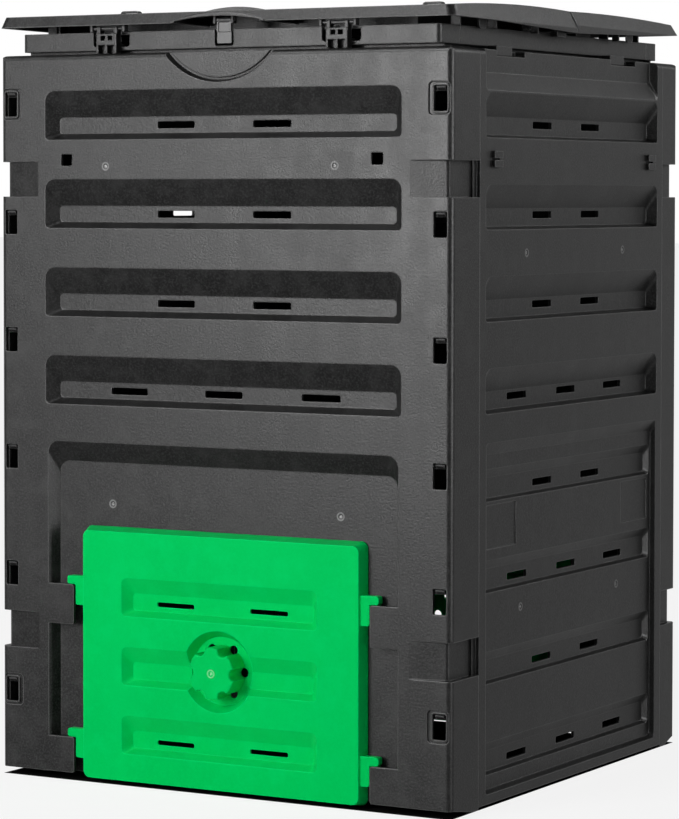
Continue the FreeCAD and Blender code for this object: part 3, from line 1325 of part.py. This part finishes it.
def knob():
    """The six-lobed knob with its shaft through the door, made at the front."""
    back = -DOOR_FACE + DIAL_DEPTH - CLEAR
    thick = KNOB_FRONT + back
    forward = V(0, -1, 0)
    star = Part.makeCylinder(KNOB_R, thick, V(0, back, KNOB_Z), forward)
    cuts = []
    for index in range(KNOB_LOBES):
        angle = math.radians(index * 360 / KNOB_LOBES)
        centre = V(KNOB_NOTCH_AT * math.cos(angle), back + BLEND, KNOB_Z + KNOB_NOTCH_AT * math.sin(angle))
        cuts.append(Part.makeCylinder(KNOB_NOTCH_R, thick + 2 * BLEND, centre, forward))
    star = star.cut(cuts)
    front_edges = [e for e in star.Edges if all(v.Point.y < -KNOB_FRONT + NEAR for v in e.Vertexes)]
    star = star.makeFillet(KNOB_EDGE_R, front_edges)
    shaft_length = -LEVER_FRONT - back
    shaft = Part.makeCylinder(SHAFT_R, shaft_length + BLEND, V(0, -LEVER_FRONT, KNOB_Z), forward)
    body = joined([star, shaft])
    screw_hole = Part.makeCylinder(SCREW_R, SCREW_GRIP, V(0, -LEVER_FRONT, KNOB_Z), forward)
    cap = Part.makeCylinder(CAP_R, CAP_DEPTH + BLEND, V(0, -KNOB_FRONT - BLEND, KNOB_Z), V(0, 1, 0))
    return body.cut([screw_hole, cap])


def lock_lever():
    """The lever on the shaft's end, pointing up behind the doorway's top edge."""
    x = (-LEVER_HALF, LEVER_HALF)
    z = (KNOB_Z - LEVER_TAIL, LEVER_TOP)
    y = (-LEVER_FRONT, -LEVER_FRONT + LEVER_THICK)
    lever = upright_plate(x, y, z, LEVER_R)
    bore_start = V(0, y[0] - BLEND, KNOB_Z)
    bore = Part.makeCylinder(SCREW_R + CLEAR, LEVER_THICK + 2 * BLEND, bore_start, V(0, 1, 0))
    return lever.cut(bore)


def lever_washer():
    """The washer between the lever and its screw."""
    start = V(0, -LEVER_FRONT + LEVER_THICK, KNOB_Z)
    disc = Part.makeCylinder(WASHER_R, WASHER_THICK, start, V(0, 1, 0))
    hole = Part.makeCylinder(SCREW_R + CLEAR, WASHER_THICK, start, V(0, 1, 0))
    return disc.cut(hole)


def lever_screw():
    """The screw that holds the lever on the knob's shaft."""
    seat = -LEVER_FRONT + LEVER_THICK + WASHER_THICK
    head = Part.makeCylinder(SCREW_HEAD_R, SCREW_HEAD, V(0, seat, KNOB_Z), V(0, 1, 0))
    shank_length = LEVER_THICK + WASHER_THICK + SCREW_GRIP - BLEND
    shank = Part.makeCylinder(SCREW_R, shank_length, V(0, seat, KNOB_Z), V(0, -1, 0))
    drive_start = V(0, seat + SCREW_HEAD - SCREW_DRIVE_DEPTH, KNOB_Z)
    drive = Part.makeCylinder(SCREW_DRIVE_R, SCREW_DRIVE_DEPTH, drive_start, V(0, 1, 0))
    return joined([head, shank]).cut(drive)


def all_nodes():
    """Every sub-part under its name."""
    nodes = {}
    nodes["front_panel"] = end_panel(FRONT_WRAP)
    nodes["rear_panel"] = turned(end_panel(REAR_WRAP))
    right_side = side_panel()
    nodes["right_side_panel"] = right_side
    nodes["left_side_panel"] = mirrored(right_side)
    nodes["front_tie_bar"] = tie_bar(-1)
    nodes["rear_tie_bar"] = tie_bar(1)
    nodes["front_collar_rail"] = wrapped_rail(COLLAR_FRONT_RETURN)
    nodes["rear_collar_rail"] = turned(wrapped_rail(COLLAR_REAR_RETURN))
    right_rail = side_rail()
    nodes["right_collar_rail"] = right_rail
    nodes["left_collar_rail"] = mirrored(right_rail)
    clip = lid_clip(CLIP_X)
    nodes["front_right_lid_clip"] = clip
    nodes["front_left_lid_clip"] = mirrored(clip)
    nodes["rear_left_lid_clip"] = turned(clip)
    nodes["rear_right_lid_clip"] = turned(mirrored(clip))
    nodes["front_lid_leaf"] = lid_leaf(True)
    nodes["rear_lid_leaf"] = turned(lid_leaf(False))
    nodes["fold_pins"] = fold_pins()
    front_pieces = {
        "lid_pins": lid_pins(), "latch": latch(), "latch_pin": latch_pin(), "door": door(),
        "knob": knob(), "lock_lever": lock_lever(), "lever_washer": lever_washer(),
        "lever_screw": lever_screw(),
    }
    for name, shape in front_pieces.items():
        nodes["front_" + name] = shape
        nodes["rear_" + name] = turned(shape)
    return nodes


def main():
    """Writes one file for each node."""
    os.makedirs("parts", exist_ok=True)
    for name, shape in all_nodes().items():
        solids = len(shape.Solids)
        print(name, "solids", solids, "valid", shape.isValid(), "volume", round(shape.Volume))
        shape.exportStep("parts/" + name + ".step")


main()
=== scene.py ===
"""Looks of a square garden compost bin with a folding lid and sliding doors."""
import json
import math

import bpy
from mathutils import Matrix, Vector


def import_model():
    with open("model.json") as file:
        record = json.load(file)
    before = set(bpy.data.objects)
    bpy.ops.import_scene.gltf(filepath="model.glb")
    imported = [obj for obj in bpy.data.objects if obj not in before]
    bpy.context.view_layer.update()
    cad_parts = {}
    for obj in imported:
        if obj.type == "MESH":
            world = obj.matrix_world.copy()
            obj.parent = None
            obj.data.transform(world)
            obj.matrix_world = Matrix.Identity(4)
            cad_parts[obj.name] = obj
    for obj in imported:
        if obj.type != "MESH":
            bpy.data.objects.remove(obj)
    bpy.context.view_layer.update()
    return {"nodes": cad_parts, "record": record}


IMAGE_HEIGHT = 819
FOCAL_PIXELS = 3304
SENSOR = 36.0
PIXELS_ABOVE_CENTRE = 80
CAMERA_PLACE = Vector((1.9757, -3.4834, 0.6845))
CAMERA_AZIMUTH = 29.715
CAMERA_PITCH = 2.334
CAMERA_ROLL = -0.063
FOOTPRINT = 0.299
FLOOR_HALF = 40.0
FLOOR_DROP = 0.0005
FLOOR_WHITENESS = 0.86

# Gate marks of the moulds, in metres, for both signs of x.
WALL_GATES = [
    (0.1525, -0.300, 0.717), (0.1525, 0.300, 0.717),
    (0.1525, -0.2855, 0.325), (0.1525, 0.2855, 0.325),
    (0.300, -0.118, 0.619), (0.300, 0.140, 0.619),
    (0.2935, -0.118, 0.215), (0.2935, 0.140, 0.215)]
KNOB_GATES = [(0.0, -0.3155, 0.141), (0.0, 0.3155, 0.141)]
GATE_CORE_R = 0.0024
GATE_RING_R = 0.0042

# Each lamp: its name, place, target, width and height in metres, and power in watts. The key lamp
# lights everything. The others give sheen and no diffuse colour.
KEY_LAMP = ("key", (-1.15, -3.45, 1.40), (0, -0.3, 0.55), (1.7, 1.6), 80)
SHEEN_LAMPS = [
    ("front_sheen", (-1.15, -3.45, 1.16), (0, -0.3, 0.6), (1.0, 1.7), 410),
    ("top_sheen", (-0.9, -2.2, 3.2), (0, 0, 0.6), (1.2, 0.8), 300),
    ("edge_sheen", (3.3, -0.5, 0.9), (0.3, -0.3, 0.45), (0.4, 2.0), 300),
    ("rear_sheen", (3.2, 3.0, 2.4), (0, 0.3, 0.6), (1.3, 1.3), 170),
    ("lid_sheen", (-0.6, 0.8, 3.6), (0, 0, 0.9), (1.6, 1.8), 260)]
# Lamps that reach only the nodes whose names start so. The front lamp would glare on the left wall
# when seen from behind.
LIT_NODES = {"front_sheen": "front_"}

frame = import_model()


# Node helpers

class Shader:
    """A material under construction, with short calls for its nodes."""

    def __init__(self, name):
        self.material = bpy.data.materials.new(name)
        self.material.use_nodes = True
        self.tree = self.material.node_tree
        self.tree.nodes.clear()
        coordinates = self.add("ShaderNodeTexCoord")
        self.place = coordinates.outputs["Object"]

    def add(self, kind, inputs=None, **settings):
        """Adds a node; inputs are numbers, colours or other nodes' outputs."""
        node = self.tree.nodes.new(kind)
        for key, value in settings.items():
            setattr(node, key, value)
        for key, value in (inputs or {}).items():
            self.feed(node.inputs[key], value)
        return node

    def feed(self, socket, value):
        """Links an output to the socket, or sets its value."""
        if isinstance(value, bpy.types.NodeSocket):
            self.tree.links.new(value, socket)
        else:
            socket.default_value = value

    def stretched(self, scale):
        """Object coordinates in metres, scaled by three factors."""
        return self.add("ShaderNodeMapping", {"Vector": self.place, "Scale": scale}).outputs[0]

    def noise(self, scale, detail=4.0, roughness=0.55, vector=None):
        """Noise between 0 and 1."""
        place = vector or self.place
        inputs = {"Vector": place, "Scale": scale, "Detail": detail, "Roughness": roughness}
        return self.add("ShaderNodeTexNoise", inputs).outputs["Fac"]

    def ramp(self, value, low, high, to_low=0.0, to_high=1.0):
        """Maps a value from one range to another, clamped."""
        inputs = {"Value": value, "From Min": low, "From Max": high,
                  "To Min": to_low, "To Max": to_high}
        return self.add("ShaderNodeMapRange", inputs).outputs[0]

    def math(self, operation, first, second=0.0):
        """One arithmetic step."""
        node = self.add("ShaderNodeMath", operation=operation)
        self.feed(node.inputs[0], first)
        self.feed(node.inputs[1], second)
        return node.outputs[0]

    def mix(self, factor, first, second):
        """A colour between two colours."""
        node = self.add("ShaderNodeMix", data_type="RGBA")
        self.feed(node.inputs[0], factor)
        self.feed(node.inputs[6], first)
        self.feed(node.inputs[7], second)
        return node.outputs[2]

    def bump(self, height, strength, distance, normal=None):
        """A bump on top of an optional normal."""
        inputs = {"Height": height, "Strength": strength, "Distance": distance}
        if normal:
            inputs["Normal"] = normal
        return self.add("ShaderNodeBump", inputs).outputs[0]

    def finish(self, **inputs):
        """Closes the material with a principled shader."""
        shader = self.add("ShaderNodeBsdfPrincipled")
        for key, value in inputs.items():
            self.feed(shader.inputs[key.replace("_", " ")], value)
        output = self.add("ShaderNodeOutputMaterial")
        self.tree.links.new(shader.outputs[0], output.inputs[0])
        return self.material


def grey(value):
    return (value, value, value, 1.0)


def wear_and_highlight_mask(s, soft):
    """1 on outward edges, whose lighter colour is partly wear and partly a painted highlight, and 0
    elsewhere.
    """
    plain = s.add("ShaderNodeNewGeometry").outputs["Normal"]
    along = s.add("ShaderNodeVectorMath", operation="DOT_PRODUCT")
    s.feed(along.inputs[0], soft)
    s.feed(along.inputs[1], plain)
    turned = s.ramp(along.outputs["Value"], 0.995, 0.93)
    open_sky = s.add("ShaderNodeAmbientOcclusion", {"Distance": 0.003}, samples=4, only_local=True)
    return s.math("MULTIPLY", turned, s.ramp(open_sky.outputs["AO"], 0.70, 0.92))


def gate_mask(s, gates):
    """A small bright core in a faint ring, where each mould was filled."""
    place = s.add("ShaderNodeSeparateXYZ", {"Vector": s.place}).outputs
    out_x = s.math("ABSOLUTE", place["X"])
    folded = s.add("ShaderNodeCombineXYZ", {"X": out_x, "Y": place["Y"], "Z": place["Z"]})
    nearest = 1.0
    for gate in gates:
        away = s.add("ShaderNodeVectorMath", operation="DISTANCE")
        s.feed(away.inputs[0], folded.outputs[0])
        away.inputs[1].default_value = gate
        nearest = s.math("MINIMUM", away.outputs["Value"], nearest)
    core = s.ramp(nearest, GATE_CORE_R, GATE_CORE_R / 2)
    torn = s.ramp(s.noise(650.0, 2.0, 0.5), 0.38, 0.55)
    off_ring = s.math("ABSOLUTE", s.math("SUBTRACT", nearest, GATE_RING_R))
    ring = s.ramp(off_ring, 0.0012, 0.0004, 0.0, 0.35)
    return s.math("MAXIMUM", s.math("MULTIPLY", core, torn), ring)


def moulded_plastic(
        name, dark, light, scuffed, worn_and_highlit_edge, gate_light, gates, grain, edge_r, **finish):
    """Moulded plastic: cloudy colour, fine grain, flow lines, scuffs, and rounded edges lightened
    partly by wear and partly by a painted highlight.
    """
    s = Shader(name)
    clouds = s.noise(4.5, 5.0, 0.6)
    colour = s.mix(s.ramp(clouds, 0.35, 0.68), dark, light)
    flow = s.noise(1.0, 3.0, 0.5, s.stretched((26.0, 26.0, 2.2)))
    colour = s.mix(s.ramp(flow, 0.52, 0.75, 0.0, 0.3), colour, scuffed)
    lines = s.noise(1.0, 2.0, 0.45, s.stretched((30.0, 30.0, 380.0)))
    patches = s.noise(7.0, 3.0, 0.5)
    scratch = s.math("MULTIPLY", s.ramp(lines, 0.68, 0.74), s.ramp(patches, 0.5, 0.65))
    colour = s.mix(s.math("MULTIPLY", scratch, 0.3), colour, scuffed)
    mottle = s.noise(38.0, 5.0, 0.62)
    colour = s.mix(s.ramp(mottle, 0.48, 0.68, 0.0, 0.55), colour, scuffed)
    speckle = s.noise(420.0, 3.0, 0.65)
    colour = s.mix(s.ramp(speckle, 0.45, 0.68, 0.0, grain), colour, scuffed)
    soft = s.add("ShaderNodeBevel", {"Radius": edge_r}, samples=6).outputs[0]
    # Outward edges get a lighter colour: partly wear, partly a painted highlight where light would
    # catch them.
    colour = s.mix(wear_and_highlight_mask(s, soft), colour, worn_and_highlit_edge)
    if gates:
        colour = s.mix(gate_mask(s, gates), colour, gate_light)
    uneven = s.math("ADD", s.math("MULTIPLY", flow, 0.5), s.math("MULTIPLY", clouds, 0.5))
    uneven = s.math("ADD", uneven, s.math("MULTIPLY", mottle, 0.6))
    uneven = s.math("ADD", uneven, s.math("MULTIPLY", speckle, 0.4 * grain))
    rough = s.ramp(uneven, 0.82, 1.18, 0.33, 0.45)
    height = s.math("ADD", s.math("MULTIPLY", speckle, grain), s.math("MULTIPLY", patches, 0.4))
    normal = s.bump(height, 0.4, 0.0006, soft)
    return s.finish(Base_Color=colour, Roughness=rough, Normal=normal, **finish)


def zinc_steel():
    """Zinc plated steel with fine turning marks."""
    s = Shader("zinc_steel")
    turning = s.noise(1.0, 2.0, 0.5, s.stretched((2500.0, 60.0, 60.0)))
    spots = s.noise(300.0, 3.0, 0.5)
    colour = s.mix(s.ramp(spots, 0.3, 0.7), grey(0.50), grey(0.66))
    rough = s.ramp(turning, 0.3, 0.7, 0.28, 0.45)
    normal = s.bump(turning, 0.2, 0.0001)
    return s.finish(Base_Color=colour, Roughness=rough, Normal=normal, Metallic=1.0)


# The fifth colour of each plastic lightens its outward edges, partly as wear and partly as a
# painted highlight.
BLACK = moulded_plastic(
    "black_plastic", grey(0.005), grey(0.008), grey(0.028), grey(0.11), grey(0.50),
    WALL_GATES, 1.0, 0.0020, Specular_IOR_Level=0.08)
GREEN = moulded_plastic(
    "green_plastic", (0.0, 0.55, 0.10, 1.0), (0.0, 0.59, 0.11, 1.0), (0.0, 0.63, 0.13, 1.0),
    (0.0, 0.70, 0.18, 1.0), (0.55, 0.85, 0.60, 1.0), KNOB_GATES, 0.4, 0.0016,
    Specular_IOR_Level=0.06, Specular_Tint=(0.0, 1.0, 0.25, 1.0))
GREY = moulded_plastic(
    "grey_plastic", grey(0.045), grey(0.055), grey(0.08), grey(0.20), None, None, 0.5, 0.0008,
    Specular_IOR_Level=0.10)
STEEL = zinc_steel()
MATERIALS = {"black_plastic": BLACK, "green_plastic": GREEN, "grey_plastic": GREY, "steel": STEEL}

slots = {part["node"]: part["material_slot"] for part in frame["record"]["subparts"]}
for name, node in frame["nodes"].items():
    node.data.materials.clear()
    node.data.materials.append(MATERIALS[slots[name]])


# Floor, lights and camera

def floor():
    """A plain pale floor that keeps the shadow, with painted shade inside the bin's footprint,
    where its colour is near black.
    """
    half = FLOOR_HALF
    corners = [(-half, -half, 0), (half, -half, 0), (half, half, 0), (-half, half, 0)]
    mesh = bpy.data.meshes.new("floor")
    mesh.from_pydata(corners, [], [(0, 1, 2, 3)])
    made = bpy.data.objects.new("floor", mesh)
    bpy.context.scene.collection.objects.link(made)
    made.location.z = -FLOOR_DROP
    s = Shader("floor")
    place = s.add("ShaderNodeSeparateXYZ", {"Vector": s.place}).outputs
    out_x = s.math("ABSOLUTE", place["X"])
    out_y = s.math("ABSOLUTE", place["Y"])
    outside = s.math("GREATER_THAN", s.math("MAXIMUM", out_x, out_y), FOOTPRINT)
    seen = s.math("MULTIPLY", seen_directly(s), outside)
    # Painted shade: the floor's colour is near black inside the bin's footprint, where the bin
    # shades it.
    diffuse = s.add("ShaderNodeBsdfDiffuse", {"Color": s.mix(outside, grey(0.01), grey(0.80))})
    white = s.add("ShaderNodeEmission", {"Color": grey(1.0), "Strength": 1.0})
    blend = s.add("ShaderNodeMixShader", {"Fac": s.math("MULTIPLY", seen, FLOOR_WHITENESS)})
    s.tree.links.new(diffuse.outputs[0], blend.inputs[1])
    s.tree.links.new(white.outputs[0], blend.inputs[2])
    output = s.add("ShaderNodeOutputMaterial")
    s.tree.links.new(blend.outputs[0], output.inputs[0])
    mesh.materials.append(s.material)


def seen_directly(s):
    """1 for what the camera sees, straight, mirrored or through glass."""
    path = s.add("ShaderNodeLightPath").outputs
    mirrored = s.math("MAXIMUM", path["Is Glossy Ray"], path["Is Transmission Ray"])
    return s.math("MAXIMUM", path["Is Camera Ray"], mirrored)


def world():
    """A white backdrop that darkens overhead and lights the object only a little."""
    made = bpy.data.worlds.new("studio")
    bpy.context.scene.world = made
    made.use_nodes = True
    s = Shader.__new__(Shader)
    s.tree = made.node_tree
    s.tree.nodes.clear()
    direction = s.add("ShaderNodeTexCoord").outputs["Generated"]
    rise = s.add("ShaderNodeSeparateXYZ", {"Vector": direction}).outputs["Z"]
    seen_strength = s.ramp(rise, 0.15, 0.50, 1.0, 0.10)
    backdrop = s.add("ShaderNodeBackground", {"Color": grey(1.0), "Strength": seen_strength})
    light_strength = s.ramp(rise, 0.1, 0.7, 0.35, 0.25)
    dim = s.add("ShaderNodeBackground", {"Color": grey(1.0), "Strength": light_strength})
    blend = s.add("ShaderNodeMixShader", {"Fac": seen_directly(s)})
    s.tree.links.new(dim.outputs[0], blend.inputs[1])
    s.tree.links.new(backdrop.outputs[0], blend.inputs[2])
    output = s.add("ShaderNodeOutputWorld")
    s.tree.links.new(blend.outputs[0], output.inputs[0])


def softbox(name, place, target, size, power, sheen_only=False):
    """A rectangular area light aimed at a point; one for sheen lights no diffuse colour."""
    data = bpy.data.lights.new(name, "AREA")
    data.shape = "RECTANGLE"
    data.size, data.size_y = size
    data.energy = power
    made = bpy.data.objects.new(name, data)
    bpy.context.scene.collection.objects.link(made)
    made.location = place
    made.rotation_euler = (Vector(target) - Vector(place)).to_track_quat("-Z", "Y").to_euler()
    made.visible_diffuse = not sheen_only
    if name in LIT_NODES:
        receivers = bpy.data.collections.new(name)
        for node_name, node in frame["nodes"].items():
            if node_name.startswith(LIT_NODES[name]):
                receivers.objects.link(node)
        made.light_linking.receiver_collection = receivers


def camera():
    """The camera that was fitted to the photograph."""
    data = bpy.data.cameras.new("camera")
    data.sensor_width = SENSOR
    data.lens = FOCAL_PIXELS * SENSOR / IMAGE_HEIGHT
    data.shift_y = -PIXELS_ABOVE_CENTRE / IMAGE_HEIGHT
    made = bpy.data.objects.new("camera", data)
    bpy.context.scene.collection.objects.link(made)
    made.location = CAMERA_PLACE
    turn = (90 - CAMERA_PITCH, CAMERA_ROLL, CAMERA_AZIMUTH)
    made.rotation_euler = [math.radians(angle) for angle in turn]
    bpy.context.scene.camera = made


floor()
world()
softbox(*KEY_LAMP)
for lamp in SHEEN_LAMPS:
    softbox(*lamp, sheen_only=True)
camera()
bpy.context.scene.view_settings.view_transform = "Standard"
